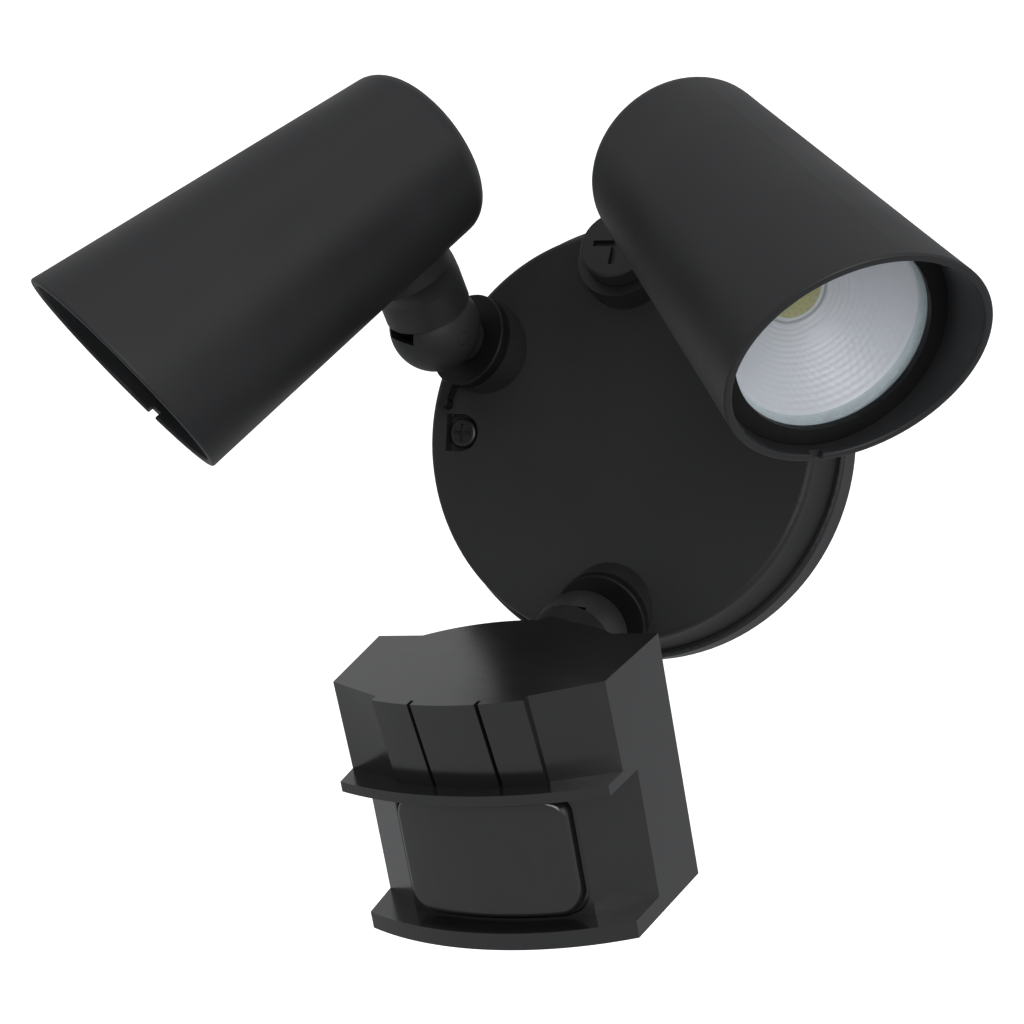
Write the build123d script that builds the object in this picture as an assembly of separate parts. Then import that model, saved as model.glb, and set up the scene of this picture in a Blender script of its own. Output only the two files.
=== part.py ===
from build123d import *
import math
import os

# Twin-head security flood light with a motion sensor, for a wall box.
# Frame: the wall is the XZ plane, the light stands out of it towards -Y, +Z is up.
# The origin is the centre of the canopy's back face. Sizes are in millimetres and degrees.

# Canopy: a stepped round cover with a flange against the wall.
FLANGE_WIDTH = 3.75
FLANGE_HEIGHT = 8.6
FLANGE_EDGE = 1.0
FACE_RADIUS = 53.4
FACE_EDGE = 1.8
CANOPY_DEPTH = 21.2
CANOPY_WALL = 2.6
CANOPY_SIDE_WALL = 4.0
GROOVE_WIDTH = 0.9
GROOVE_DEPTH = 0.9
COVE_FOOT = 1.8

# Wall gasket, in a groove in the flange's back.
GASKET_INSET = 1.55
GASKET_WIDTH = 3.0
GASKET_HEIGHT = 1.6

# Mounting screws, into a wall box with 3.5 inch hole spacing.
SCREW_SPACING = 88.9
SCREW_RADIUS = 2.08
SCREW_SHANK_RADIUS = 1.82
SCREW_HOLE_CLEARANCE = 0.32
SCREW_HEAD_RADIUS = 3.9
SCREW_HEAD_HEIGHT = 2.4
SCREW_SLOT_LENGTH = 4.7
SCREW_SLOT_WIDTH = 1.0
SCREW_SLOT_DEPTH = 1.2
SCREW_REACH = 9.0
RECESS_RADIUS = 4.9
RECESS_FLAT = 4.2
RECESS_DEPTH = 3.4

# Hub seats: four round the face, leaning outwards, for three arms and a plug.
HUB_INSET = 7.8
HUB_LEAN = 20.8
SEAT_WALL = 1.9
SEAT_HEIGHT = 2.8
SEAT_DEPTH = 12.0
SEAT_FLOOR = 6.0

# Closure plug in the unused seat at the top of the face.
PLUG_AZIMUTH = 90.0
PLUG_RADIUS = 9.6
PLUG_HEIGHT = 4.8
PLUG_EDGE = 0.7
PLUG_THREAD_LENGTH = 10.0
PLUG_SLOT_LENGTH = 12.0
PLUG_SLOT_WIDTH = 1.7
PLUG_SLOT_DEPTH = 1.4
PLUG_GASKET_HEIGHT = 0.8

# Supply parts inside the canopy.
DRIVER_LENGTH = 42.0
DRIVER_WIDTH = 32.0
DRIVER_HEIGHT = 11.0
DRIVER_CORNER = 2.0
DRIVER_DROP = 2.0
DRIVER_TAB = 7.0
DRIVER_TAB_HEIGHT = 1.6
DRIVER_SCREW_RADIUS = 1.45
DRIVER_SCREW_HEAD = 2.2
TERMINAL_LENGTH = 21.0
TERMINAL_WIDTH = 9.0
TERMINAL_HEIGHT = 8.0
TERMINAL_WAYS = 3
TERMINAL_GAP = 3.0
WAY_RADIUS = 1.6
WAY_SCREW_RADIUS = 1.8
WAY_SCREW_DEPTH = 2.0

# Knuckle, alike on all three arms: a ball on the stem, and a tongue from the neck pinned in its slot.
ARM_LENGTH = 18.5
STEM_RADIUS = 6.0
STEM_TAIL = 13.0
WIRE_RADIUS = 2.9
BALL_RADIUS = 11.8
BALL_GAP = 0.3
NUT_FLATS = 17.0
NUT_CLEARANCE = 0.5
NUT_HEIGHT = 4.0
SEAL_HEIGHT = 1.0
SEAL_WIDTH = 5.0
RING_RADIUS = 12.4
RING_HEIGHT = 2.4
RING_EDGE = 0.6
RING_SWEEP_CLEARANCE = 0.5
TAB_REACH = 5.0
TAB_WIDTH = 2.2
TAB_HOOK = 1.5
TONGUE_WIDTH = 8.4
TONGUE_THICKNESS = 9.0
CAP_FLOOR = 6.2
CAP_PLATE = 1.9
PIN_RADIUS = 1.75
SLOT_MARGIN = 1.8

# Clearances.
RUNNING = 0.08
FACE_GAP = 0.12
SEATED = 0.1

# Lamp head: a tapered housing carried by a flared neck.
HEAD_REAR_RADIUS = 22.8
HEAD_FRONT_RADIUS = 30.6
HEAD_LENGTH = 101.1
HEAD_WALL = 2.0
HEAD_REAR_WALL = 3.0
HEAD_REAR_EDGE = 5.4
HEAD_REACH = 45.6
HEAD_BACK = 16.6
MOUTH_SLANT = 17.1
HOOD_TURN = -32.0
HOOD_EDGE = 0.6
NECK_RADIUS = 11.2
NECK_FOOT_RADIUS = 14.2
NECK_FOOT_SHIFT = 4.5
NOTCH_WIDTH = 3.0
NOTCH_DEPTH = 1.2

# Optics, placed along the head's axis, set back from the middle of its mouth.
LENS_SET_BACK = 14.2
LENS_HEIGHT = 2.8
BEZEL_LIP = 1.8
BEZEL_LAP = 1.7
BEZEL_WALL = 2.3
LENS_GASKET_HEIGHT = 0.8
LENS_GASKET_WIDTH = 2.2
LED_DEPTH = 17.6
PHOSPHOR_RADIUS = 5.3
PHOSPHOR_HEIGHT = 0.7
CHIP_RADIUS = 7.2
CHIP_HEIGHT = 0.9
BOARD_RADIUS = 16.5
BOARD_HEIGHT = 1.6
BOARD_SCREW_CIRCLE = 12.9
BOARD_SCREW_RADIUS = 1.25
BOARD_SCREW_HEAD = 2.3
BOARD_SCREW_HEAD_HEIGHT = 1.5
BOARD_SCREW_LENGTH = 5.0
REFLECTOR_WALL = 1.0
REFLECTOR_THROAT = 7.8
REFLECTOR_COLLAR = 2.4
REFLECTOR_RIM = 1.0
SINK_BASE_HEIGHT = 6.0
SINK_CORE_RADIUS = 9.5
SINK_FIN_RADIUS = 20.4
SINK_FIN_THICKNESS = 1.8
SINK_FIN_COUNT = 10
SINK_TOP_HEIGHT = 4.0

# Sensor: a stepped box with a raked brow, a thin visor, a curved window and a sill. Its back bows out.
SENSOR_REACH = 34.6
SENSOR_DROP = 14.9
SENSOR_TURN = 2.75
SENSOR_WIDTH = 74.0
SENSOR_HEIGHT = 62.2
SENSOR_WALL = 2.2
SIDE_DRAFT = 0.066
BACK_BOW = 9.3
BACK_BOW_HALF = 25.0
BROW_HEIGHT = 22.8
BROW_CORNER = 28.8
BROW_FOOT_CORNER = 27.7
BROW_RAKE = 0.72
BROW_PANEL = 19.4
BROW_PANEL_DEPTH = 37.4
BROW_FRONT = 40.6
BROW_STEP = 2.35
BROW_GROOVE = 8.6
BROW_GROOVE_WIDTH = 0.95
VISOR_HEIGHT = 2.6
VISOR_CORNER = 35.4
VISOR_FRONT = 42.6
CHEEK_CORNER = 20.9
CHEEK_PANEL = 23.6
CHEEK_PANEL_DEPTH = 31.2
CHEEK_FRONT = 35.4
SILL_HEIGHT = 4.3
SILL_CORNER = 33.6
SILL_FRONT = 42.4
WINDOW_HALF_WIDTH = 22.0
WINDOW_MARGIN = 1.6
WINDOW_GAP = 1.2
WINDOW_CORNER = 5.0
WINDOW_PROUD = 1.3
WINDOW_WALL = 1.4
WINDOW_FLANGE = 0.9
COVER_THICKNESS = 2.4
COVER_HOLLOW_HALF = 15.0
COVER_RIM = 6.0
COVER_SEAL_HEIGHT = 0.8
COVER_SEAL_WIDTH = 2.0
LEDGE_WIDTH = 4.0
LEDGE_DEPTH = 2.0
SENSOR_NECK_FOOT = 12.2
SENSOR_POST_RADIUS = 3.2
SENSOR_POST_LENGTH = 9.0
COVER_SCREW_RADIUS = 1.25
COVER_SCREW_HEAD = 2.6
COVER_SCREW_HEAD_HEIGHT = 1.7
COVER_SCREW_LENGTH = 9.0
STANDOFF_RADIUS = 2.6
STANDOFF_HEIGHT = 5.6
SENSOR_BOARD_WIDTH = 46.0
SENSOR_BOARD_INSET = 8.0
SENSOR_BOARD_HEIGHT = 1.6
PYRO_RADIUS = 4.6
PYRO_HEIGHT = 4.2
DIAL_SPACING = 18.0
DIAL_RADIUS = 4.0
DIAL_PROUD = 0.7
DIAL_SLOT_WIDTH = 1.2
DIAL_SLOT_DEPTH = 1.2
DIAL_FLANGE = 1.0
DIAL_FLANGE_HEIGHT = 1.0
DIAL_SHAFT_RADIUS = 1.5
TRIMMER_WIDTH = 8.0
TRIMMER_DEPTH = 6.4
TRIMMER_HEIGHT = 5.0
TRIMMER_RISE = 13.3

# How the three arms are set in the rest pose, and the tilt either way that their slots allow.
ARMS = {
    "right": {"azimuth": 30.0, "swivel": 96.2, "tilt": 36.9, "ring": 200.0, "back": 50.0, "forth": 18.0},
    "left": {"azimuth": 150.0, "swivel": -79.2, "tilt": 37.2, "ring": 182.0, "back": 50.0, "forth": 18.0},
    "sensor": {"azimuth": 270.0, "swivel": 0.6, "tilt": 2.7, "ring": 0.0, "back": 40.0, "forth": 40.0},
}

BASE = (Align.CENTER, Align.CENTER, Align.MIN)
nodes = {}


def disc(radius, low, high):
    """Upright cylinder from one height to another."""
    return Pos(0, 0, low) * Cylinder(radius, high - low, align=BASE)


def ring(outer, inner, low, high):
    """Upright tube from one height to another."""
    return disc(outer, low, high) - disc(inner, low - 1, high + 1)


def turned(*edges):
    """Solid turned about Z from an outline drawn as radius and height."""
    return revolve(Plane.XZ * make_face(list(edges)), Axis.Z)


def slab(width, length, low, high):
    """Upright box centred on Z from one height to another."""
    return Pos(0, 0, low) * Box(width, length, high - low, align=BASE)


def head_radius(along):
    """Outside radius of the lamp head at a distance from its rear face."""
    taper = (HEAD_FRONT_RADIUS - HEAD_REAR_RADIUS) / HEAD_LENGTH
    return HEAD_REAR_RADIUS + taper * along


# The wall frame: local x is right, local y is up and local z stands out of the wall.
WALL = Plane(origin=(0, 0, 0), x_dir=(1, 0, 0), z_dir=(0, -1, 0)).location


def seat_place(azimuth):
    """Seat frame in the canopy: z along the stem, x radially outwards."""
    spot = Pos(FACE_RADIUS - HUB_INSET, 0, CANOPY_DEPTH)
    return Rot(0, 0, azimuth) * spot * Rot(0, HUB_LEAN, 0)


def hub_place(arm):
    """Frame of the seat that an arm stands on."""
    return WALL * seat_place(ARMS[arm]["azimuth"])


def stem_place(arm):
    """Frame of the parts that swivel with the stem: y lies along the pivot pin."""
    return hub_place(arm) * Rot(0, 0, ARMS[arm]["swivel"])


def neck_place(arm):
    """Frame of the parts that tilt: origin at the pivot, z along the neck, x along the beam."""
    return stem_place(arm) * Pos(0, 0, ARM_LENGTH) * Rot(0, ARMS[arm]["tilt"], 0) * Rot(0, 0, 180)


# Canopy cover: turned shell, four seats with nut pockets, screw recesses.
flange_radius = FACE_RADIUS + FLANGE_WIDTH
cavity_radius = FACE_RADIUS - CANOPY_SIDE_WALL
cavity_top = CANOPY_DEPTH - CANOPY_WALL
groove_inner = FACE_RADIUS + COVE_FOOT
groove_outer = groove_inner + GROOVE_WIDTH
groove_floor = FLANGE_HEIGHT - GROOVE_DEPTH
cove_mid = (FACE_RADIUS + COVE_FOOT / 4, (FLANGE_HEIGHT + CANOPY_DEPTH) / 2 - 1)
canopy = turned(
    Polyline(
        (FACE_RADIUS, CANOPY_DEPTH - FACE_EDGE),
        (FACE_RADIUS, CANOPY_DEPTH),
        (0, CANOPY_DEPTH),
        (0, 0),
        (flange_radius, 0),
        (flange_radius, FLANGE_HEIGHT),
        (groove_outer, FLANGE_HEIGHT),
        (groove_outer, groove_floor),
        (groove_inner, groove_floor),
        (groove_inner, FLANGE_HEIGHT),
    ),
    ThreePointArc((groove_inner, FLANGE_HEIGHT), cove_mid, (FACE_RADIUS, CANOPY_DEPTH - FACE_EDGE)),
)
canopy = fillet(canopy.edges().filter_by(GeomType.CIRCLE).group_by(Axis.Z)[-1], FACE_EDGE * 0.9)
flange_rims = canopy.edges().filter_by(lambda edge: abs(edge.length - 2 * math.pi * flange_radius) < 0.1)
canopy = fillet(flange_rims.sort_by(Axis.Z)[-1:], FLANGE_EDGE)
canopy -= disc(cavity_radius, -1, cavity_top)
seats = [seat_place(PLUG_AZIMUTH)] + [seat_place(setting["azimuth"]) for setting in ARMS.values()]
pocket_radius = NUT_FLATS / math.sqrt(3) + NUT_CLEARANCE
for seat in seats:
    canopy += seat * disc(pocket_radius + SEAT_WALL, -SEAT_DEPTH, SEAT_HEIGHT)
for seat in seats:
    canopy -= seat * disc(pocket_radius, -2 * SEAT_DEPTH, -SEAT_FLOOR)
    canopy -= seat * disc(STEM_RADIUS + RUNNING, -SEAT_DEPTH, SEAT_HEIGHT + 1)
    canopy -= seat * disc(RING_RADIUS + RING_SWEEP_CLEARANCE, SEAT_HEIGHT, ARM_LENGTH)
gasket_outer = flange_radius - GASKET_INSET
gasket_inner = gasket_outer - GASKET_WIDTH
canopy -= ring(gasket_outer, gasket_inner, -1, GASKET_HEIGHT)

recess_floor = CANOPY_DEPTH - RECESS_DEPTH
recess_outline = make_face([
    Polyline((0, RECESS_RADIUS), (RECESS_FLAT, RECESS_RADIUS), (RECESS_FLAT, -RECESS_RADIUS),
             (0, -RECESS_RADIUS)),
    ThreePointArc((0, -RECESS_RADIUS), (-RECESS_RADIUS, 0), (0, RECESS_RADIUS)),
])
recess = Pos(0, 0, recess_floor) * extrude(recess_outline, RECESS_DEPTH + 1)
for azimuth in (0, 180):
    turn = Rot(0, 0, azimuth) * Pos(SCREW_SPACING / 2, 0, 0)
    canopy += turn * disc(RECESS_RADIUS + CANOPY_WALL / 2, recess_floor - CANOPY_WALL, cavity_top + 1)
    canopy -= turn * recess
    canopy -= turn * disc(SCREW_RADIUS + SCREW_HOLE_CLEARANCE, -1, CANOPY_DEPTH)
nodes["canopy_cover"] = WALL * canopy

nodes["wall_gasket"] = WALL * ring(gasket_outer - SEATED, gasket_inner + SEATED, 0, GASKET_HEIGHT)

# Mounting screws: pan heads in the recesses, plain shanks through the face, threads on into the wall box.
head_floor = recess_floor + SEATED
head_top = head_floor + SCREW_HEAD_HEIGHT
thread_top = recess_floor - CANOPY_WALL - FACE_GAP
screw = disc(SCREW_HEAD_RADIUS, head_floor, head_top)
screw = fillet(screw.edges().group_by(Axis.Z)[-1], SCREW_HEAD_HEIGHT * 0.4)
screw += disc(SCREW_SHANK_RADIUS, thread_top, head_floor) + disc(SCREW_RADIUS, -SCREW_REACH, thread_top)
screw_slot = slab(SCREW_SLOT_LENGTH, SCREW_SLOT_WIDTH, head_top - SCREW_SLOT_DEPTH, head_top + 1)
for turn in (0, 90):
    screw -= Rot(0, 0, turn) * screw_slot
nodes["mounting_screws"] = WALL * Compound(
    children=[Pos(across * SCREW_SPACING / 2, 0, 0) * screw for across in (-1, 1)]
)

# Closure plug: round head with a cross slot on a washer, threaded shank in the seat's bore.
plug_place = WALL * seat_place(PLUG_AZIMUTH)
plug_foot = SEAT_HEIGHT + PLUG_GASKET_HEIGHT
plug_top = plug_foot + PLUG_HEIGHT
plug = fillet(disc(PLUG_RADIUS, plug_foot, plug_top).edges().group_by(Axis.Z)[-1], PLUG_EDGE)
plug += disc(STEM_RADIUS - SEATED, plug_foot - PLUG_THREAD_LENGTH, plug_foot)
plug -= slab(PLUG_SLOT_LENGTH, PLUG_SLOT_WIDTH, plug_top - PLUG_SLOT_DEPTH, plug_top + 1)
plug -= slab(PLUG_SLOT_WIDTH, PLUG_SLOT_LENGTH, plug_top - PLUG_SLOT_DEPTH, plug_top + 1)
nodes["closure_plug"] = plug_place * plug
washer = ring(PLUG_RADIUS - SEATED, STEM_RADIUS + SEATED, SEAT_HEIGHT, plug_foot)
nodes["closure_gasket"] = plug_place * washer

# Driver and terminal block, seated against the inside of the canopy's face.
driver_place = WALL * Pos(0, -DRIVER_DROP, 0)
driver_floor = cavity_top - DRIVER_HEIGHT
tab_floor = cavity_top - DRIVER_TAB_HEIGHT
driver = slab(DRIVER_LENGTH, DRIVER_WIDTH, driver_floor, cavity_top)
driver = fillet(driver.edges().filter_by(Axis.Z), DRIVER_CORNER)
driver += slab(DRIVER_LENGTH + 2 * DRIVER_TAB, 1.5 * DRIVER_TAB, tab_floor, cavity_top)
tab_reach = (DRIVER_LENGTH + DRIVER_TAB) / 2
tab_spots = [Pos(across * tab_reach, 0, tab_floor) for across in (-1, 1)]
for spot in tab_spots:
    driver -= spot * disc(DRIVER_SCREW_RADIUS + SEATED, -1, DRIVER_TAB_HEIGHT + 1)
nodes["led_driver"] = driver_place * driver
driver_screw = disc(DRIVER_SCREW_RADIUS, -1, DRIVER_TAB_HEIGHT)
driver_screw += disc(2 * DRIVER_SCREW_RADIUS, -DRIVER_SCREW_HEAD, 0)
nodes["driver_screws"] = driver_place * Compound(children=[spot * driver_screw for spot in tab_spots])

terminal_floor = cavity_top - TERMINAL_HEIGHT
terminal = slab(TERMINAL_LENGTH, TERMINAL_WIDTH, terminal_floor, cavity_top)
way_pitch = TERMINAL_LENGTH / TERMINAL_WAYS
for way in range(TERMINAL_WAYS):
    across = (way - (TERMINAL_WAYS - 1) / 2) * way_pitch
    way_place = Pos(across, 0, terminal_floor + TERMINAL_HEIGHT / 2)
    terminal -= way_place * Rot(90, 0, 0) * Cylinder(WAY_RADIUS, 2 * TERMINAL_WIDTH)
    terminal -= Pos(across, 0, terminal_floor) * disc(WAY_SCREW_RADIUS, -1, WAY_SCREW_DEPTH)
terminal_y = DRIVER_WIDTH / 2 - DRIVER_DROP + TERMINAL_WIDTH / 2 + TERMINAL_GAP
nodes["terminal_block"] = WALL * Pos(0, terminal_y, 0) * terminal

# Knuckle of each arm: seal, lock ring with its thumb tab, ball stem and nut turn about the hub.
ring_floor = SEAT_HEIGHT + SEAL_HEIGHT + FACE_GAP
ring_top = ring_floor + RING_HEIGHT
seal = ring(STEM_RADIUS + SEATED + SEAL_WIDTH, STEM_RADIUS + SEATED, SEAT_HEIGHT, SEAT_HEIGHT + SEAL_HEIGHT)

ring_bore = STEM_RADIUS + SEATED
lock_ring = fillet(disc(RING_RADIUS, ring_floor, ring_top).edges().group_by(Axis.Z)[-1], RING_EDGE)
lock_ring -= disc(ring_bore, 0, 2 * ring_top)
tab_tip = RING_RADIUS + TAB_REACH
tab_root = (STEM_RADIUS + RING_RADIUS) / 2
tab = Pos((tab_root + tab_tip) / 2, 0, 0) * slab(tab_tip - tab_root, TAB_WIDTH, ring_floor, ring_top)
tab += Pos(tab_tip, TAB_HOOK - TAB_WIDTH / 2, 0) * disc(TAB_HOOK, ring_floor, ring_top)
lock_ring += tab
pivot = Pos(0, 0, ARM_LENGTH)
lock_ring -= pivot * Sphere(BALL_RADIUS + BALL_GAP)

across_pin = Rot(90, 0, 0)
ball_blank = disc(STEM_RADIUS, -STEM_TAIL, ARM_LENGTH) + pivot * Sphere(BALL_RADIUS)
ball_blank -= disc(WIRE_RADIUS, -STEM_TAIL - 1, ARM_LENGTH)
ball_blank -= pivot * across_pin * Cylinder(PIN_RADIUS + RUNNING, 4 * BALL_RADIUS)


def tongue_slot(low, high):
    """Room for the tongue in the ball, swept about the pin from one tilt to another."""
    reach = BALL_RADIUS + 1
    width = TONGUE_THICKNESS + 2 * FACE_GAP
    room = TONGUE_WIDTH / 2 + BALL_GAP
    angles = [math.radians(angle) for angle in (low, (low + high) / 2, high)]
    tips = [(reach * math.sin(angle), reach * math.cos(angle)) for angle in angles]
    sector = make_face([Polyline(tips[2], (0, 0), tips[0]), ThreePointArc(*tips)])
    slot = extrude(Plane.XZ * sector, width / 2, both=True)
    slot += across_pin * Cylinder(room, width)
    for angle in (low, high):
        slot += Rot(0, angle, 0) * Box(2 * room, width, reach, align=BASE)
    return slot


nut_top = -SEAT_FLOOR - FACE_GAP
stem_nut = extrude(RegularPolygon(NUT_FLATS / 2, 6, major_radius=False), NUT_HEIGHT)
stem_nut = Pos(0, 0, nut_top - NUT_HEIGHT) * stem_nut
stem_nut -= disc(STEM_RADIUS + SEATED, nut_top - 2 * NUT_HEIGHT, 0)

# Cap over the ball with its tongue, and the pin through both: these tilt with the head.
cap_bore = BALL_RADIUS + BALL_GAP
cap_top = cap_bore + CAP_PLATE
knuckle_cap = disc(NECK_RADIUS, CAP_FLOOR, cap_top) - Sphere(cap_bore)
knuckle_cap += slab(TONGUE_WIDTH, TONGUE_THICKNESS, 0, cap_top)
knuckle_cap += across_pin * Cylinder(TONGUE_WIDTH / 2, TONGUE_THICKNESS)
knuckle_cap -= disc(WIRE_RADIUS, -TONGUE_WIDTH, cap_top + 1)
knuckle_cap -= across_pin * Cylinder(PIN_RADIUS + SEATED / 2, 2 * TONGUE_THICKNESS)
pivot_pin = across_pin * Cylinder(PIN_RADIUS, 2 * BALL_RADIUS) & Sphere(BALL_RADIUS)

for arm, setting in ARMS.items():
    low = setting["tilt"] - setting["back"] - SLOT_MARGIN
    high = setting["tilt"] + setting["forth"] + SLOT_MARGIN
    nodes[arm + "_hub_seal"] = hub_place(arm) * seal
    nodes[arm + "_lock_ring"] = stem_place(arm) * Rot(0, 0, setting["ring"]) * lock_ring
    nodes[arm + "_ball_stem"] = stem_place(arm) * (ball_blank - pivot * tongue_slot(low, high))
    nodes[arm + "_stem_nut"] = stem_place(arm) * stem_nut
    nodes[arm + "_knuckle_cap"] = neck_place(arm) * knuckle_cap
    nodes[arm + "_pivot_pin"] = neck_place(arm) * pivot_pin


def flared_neck(foot_radius, foot_shift, foot_height, top):
    """Neck above the cap: round below, flaring to a wider foot that may lie off the axis."""
    flare = foot_radius - NECK_RADIUS
    waist_height = (cap_top + foot_height) / 2
    neck = loft([
        Pos(0, 0, cap_top) * Circle(NECK_RADIUS),
        Pos(foot_shift / 4, 0, waist_height) * Circle(NECK_RADIUS + flare / 4),
        Pos(foot_shift, 0, foot_height) * Circle(foot_radius),
    ])
    return neck + Pos(foot_shift, 0, 0) * disc(foot_radius, foot_height, top)


# Lamp head, in its own frame: z along the beam from the rear face, x towards the hood's long side.
hood_turn = math.radians(HOOD_TURN)
LAMP = Plane(
    origin=(-HEAD_BACK, 0, HEAD_REACH),
    x_dir=(0, -math.sin(hood_turn), math.cos(hood_turn)),
    z_dir=(1, 0, 0),
).location
mouth_rise = math.tan(math.radians(MOUTH_SLANT))
blank_length = HEAD_LENGTH + mouth_rise * HEAD_FRONT_RADIUS + 2
blank_radius = head_radius(blank_length)

housing = turned(
    Polyline(
        (0, 0),
        (HEAD_REAR_RADIUS, 0),
        (blank_radius, blank_length),
        (0, blank_length),
        (0, 0),
    )
)
housing = fillet(housing.edges().group_by(Axis.Z)[0], HEAD_REAR_EDGE)
mouth = Plane(origin=(0, 0, HEAD_LENGTH), z_dir=(-mouth_rise, 0, 1))
housing = split(housing, bisect_by=mouth, keep=Keep.BOTTOM)
neck_surface = HEAD_REACH - head_radius(HEAD_BACK)
neck = flared_neck(NECK_FOOT_RADIUS, NECK_FOOT_SHIFT, neck_surface, neck_surface + NECK_FOOT_RADIUS)
housing += LAMP.inverse() * neck
bore_rear = head_radius(HEAD_REAR_WALL) - HEAD_WALL
bore_front = head_radius(blank_length + 1) - HEAD_WALL
housing -= turned(
    Polyline(
        (0, HEAD_REAR_WALL),
        (bore_rear, HEAD_REAR_WALL),
        (bore_front, blank_length + 1),
        (0, blank_length + 1),
        (0, HEAD_REAR_WALL),
    )
)
housing = fillet(housing.faces().sort_by(Axis.Z)[-1].edges(), HOOD_EDGE)
housing -= LAMP.inverse() * disc(WIRE_RADIUS, 0, HEAD_REACH)
notch_rim = HEAD_LENGTH - mouth_rise * head_radius(HEAD_LENGTH)
housing -= Pos(-HEAD_FRONT_RADIUS, 0, notch_rim - NOTCH_DEPTH) * Box(
    4 * HEAD_WALL + 4, NOTCH_WIDTH, HEAD_LENGTH, align=BASE
)

# Heat sink: a base seated on the rear wall, a core with fins and a plate for the board.
lens_front = HEAD_LENGTH - LENS_SET_BACK
led_plane = lens_front - LED_DEPTH
chip_floor = led_plane - PHOSPHOR_HEIGHT - CHIP_HEIGHT
board_floor = chip_floor - BOARD_HEIGHT
sink_base_top = HEAD_REAR_WALL + SINK_BASE_HEIGHT
heat_sink = disc(bore_rear - SEATED, HEAD_REAR_WALL, sink_base_top)
heat_sink += disc(SINK_CORE_RADIUS, HEAD_REAR_WALL, board_floor)
heat_sink += disc(SINK_FIN_RADIUS, board_floor - SINK_TOP_HEIGHT, board_floor)
fin = Pos(SINK_FIN_RADIUS / 2, 0, 0) * slab(SINK_FIN_RADIUS, SINK_FIN_THICKNESS, sink_base_top, board_floor)
fin = fin & disc(SINK_FIN_RADIUS, sink_base_top, board_floor)
for place in PolarLocations(0, SINK_FIN_COUNT):
    heat_sink += place * fin
board_screw_spots = PolarLocations(BOARD_SCREW_CIRCLE, 2)
for place in board_screw_spots:
    heat_sink -= place * disc(BOARD_SCREW_RADIUS + SEATED, board_floor - BOARD_SCREW_LENGTH, board_floor + 1)

led_board = disc(BOARD_RADIUS, board_floor, chip_floor)
for place in board_screw_spots:
    led_board -= place * disc(BOARD_SCREW_RADIUS + SEATED, board_floor - 1, chip_floor + 1)
board_screw = disc(BOARD_SCREW_RADIUS, board_floor - BOARD_SCREW_LENGTH + 1, chip_floor)
board_screw += disc(BOARD_SCREW_HEAD, chip_floor, chip_floor + BOARD_SCREW_HEAD_HEIGHT)
board_screws = Compound(children=[place * board_screw for place in board_screw_spots])
led_chip = disc(CHIP_RADIUS, chip_floor, chip_floor + CHIP_HEIGHT)
led_phosphor = disc(PHOSPHOR_RADIUS, chip_floor + CHIP_HEIGHT, led_plane)

# Reflector: a bowl on the board, rising to the gasket under the lens.
lens_radius = head_radius(lens_front) - HEAD_WALL - BEZEL_WALL
lens_floor = lens_front - LENS_HEIGHT
rim_top = lens_floor - LENS_GASKET_HEIGHT
throat_top = chip_floor + REFLECTOR_COLLAR
rim_inner = lens_radius - LENS_GASKET_WIDTH
bowl_rate = (rim_inner**2 - REFLECTOR_THROAT**2) / (rim_top - throat_top)


def bowl_height(radius):
    """Height of the reflecting surface, a parabola about the beam."""
    return throat_top + (radius**2 - REFLECTOR_THROAT**2) / bowl_rate


bowl_mid = (REFLECTOR_THROAT + rim_inner) / 2
throat_outer = REFLECTOR_THROAT + REFLECTOR_WALL
rim_floor = rim_top - REFLECTOR_RIM
rim_back = rim_inner + 0.6 * REFLECTOR_WALL
reflector = turned(
    Line((REFLECTOR_THROAT, chip_floor), (REFLECTOR_THROAT, throat_top)),
    ThreePointArc((REFLECTOR_THROAT, throat_top), (bowl_mid, bowl_height(bowl_mid)), (rim_inner, rim_top)),
    Polyline((rim_inner, rim_top), (lens_radius, rim_top), (lens_radius, rim_floor), (rim_back, rim_floor)),
    ThreePointArc(
        (rim_back, rim_floor),
        (bowl_mid + REFLECTOR_WALL * 0.8, bowl_height(bowl_mid) - REFLECTOR_WALL),
        (throat_outer, throat_top - REFLECTOR_WALL * 0.4),
    ),
    Polyline(
        (throat_outer, throat_top - REFLECTOR_WALL * 0.4),
        (throat_outer, chip_floor),
        (REFLECTOR_THROAT, chip_floor),
    ),
)

lens_gasket = ring(lens_radius, lens_radius - LENS_GASKET_WIDTH, rim_top, lens_floor)
lens = disc(lens_radius, lens_floor, lens_front)

# Bezel: a ring pressed into the housing, over the lens and round its edge.
bezel_inner = lens_radius + SEATED
bezel_front = lens_front + BEZEL_LIP
bezel_aperture = lens_radius - BEZEL_LAP
bezel = turned(
    Polyline(
        (bezel_inner, rim_top),
        (head_radius(rim_top) - HEAD_WALL - SEATED, rim_top),
        (head_radius(bezel_front) - HEAD_WALL - SEATED, bezel_front),
        (bezel_aperture, bezel_front),
        (bezel_aperture, lens_front),
        (bezel_inner, lens_front),
        (bezel_inner, rim_top),
    )
)

for arm in ("left", "right"):
    lamp_place = neck_place(arm) * LAMP
    nodes[arm + "_lamp_housing"] = lamp_place * housing
    nodes[arm + "_heat_sink"] = lamp_place * heat_sink
    nodes[arm + "_led_board"] = lamp_place * led_board
    nodes[arm + "_board_screws"] = lamp_place * board_screws
    nodes[arm + "_led_chip"] = lamp_place * led_chip
    nodes[arm + "_led_phosphor"] = lamp_place * led_phosphor
    nodes[arm + "_reflector"] = lamp_place * reflector
    nodes[arm + "_lens_gasket"] = lamp_place * lens_gasket
    nodes[arm + "_lens"] = lamp_place * lens
    nodes[arm + "_lens_bezel"] = lamp_place * bezel

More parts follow.
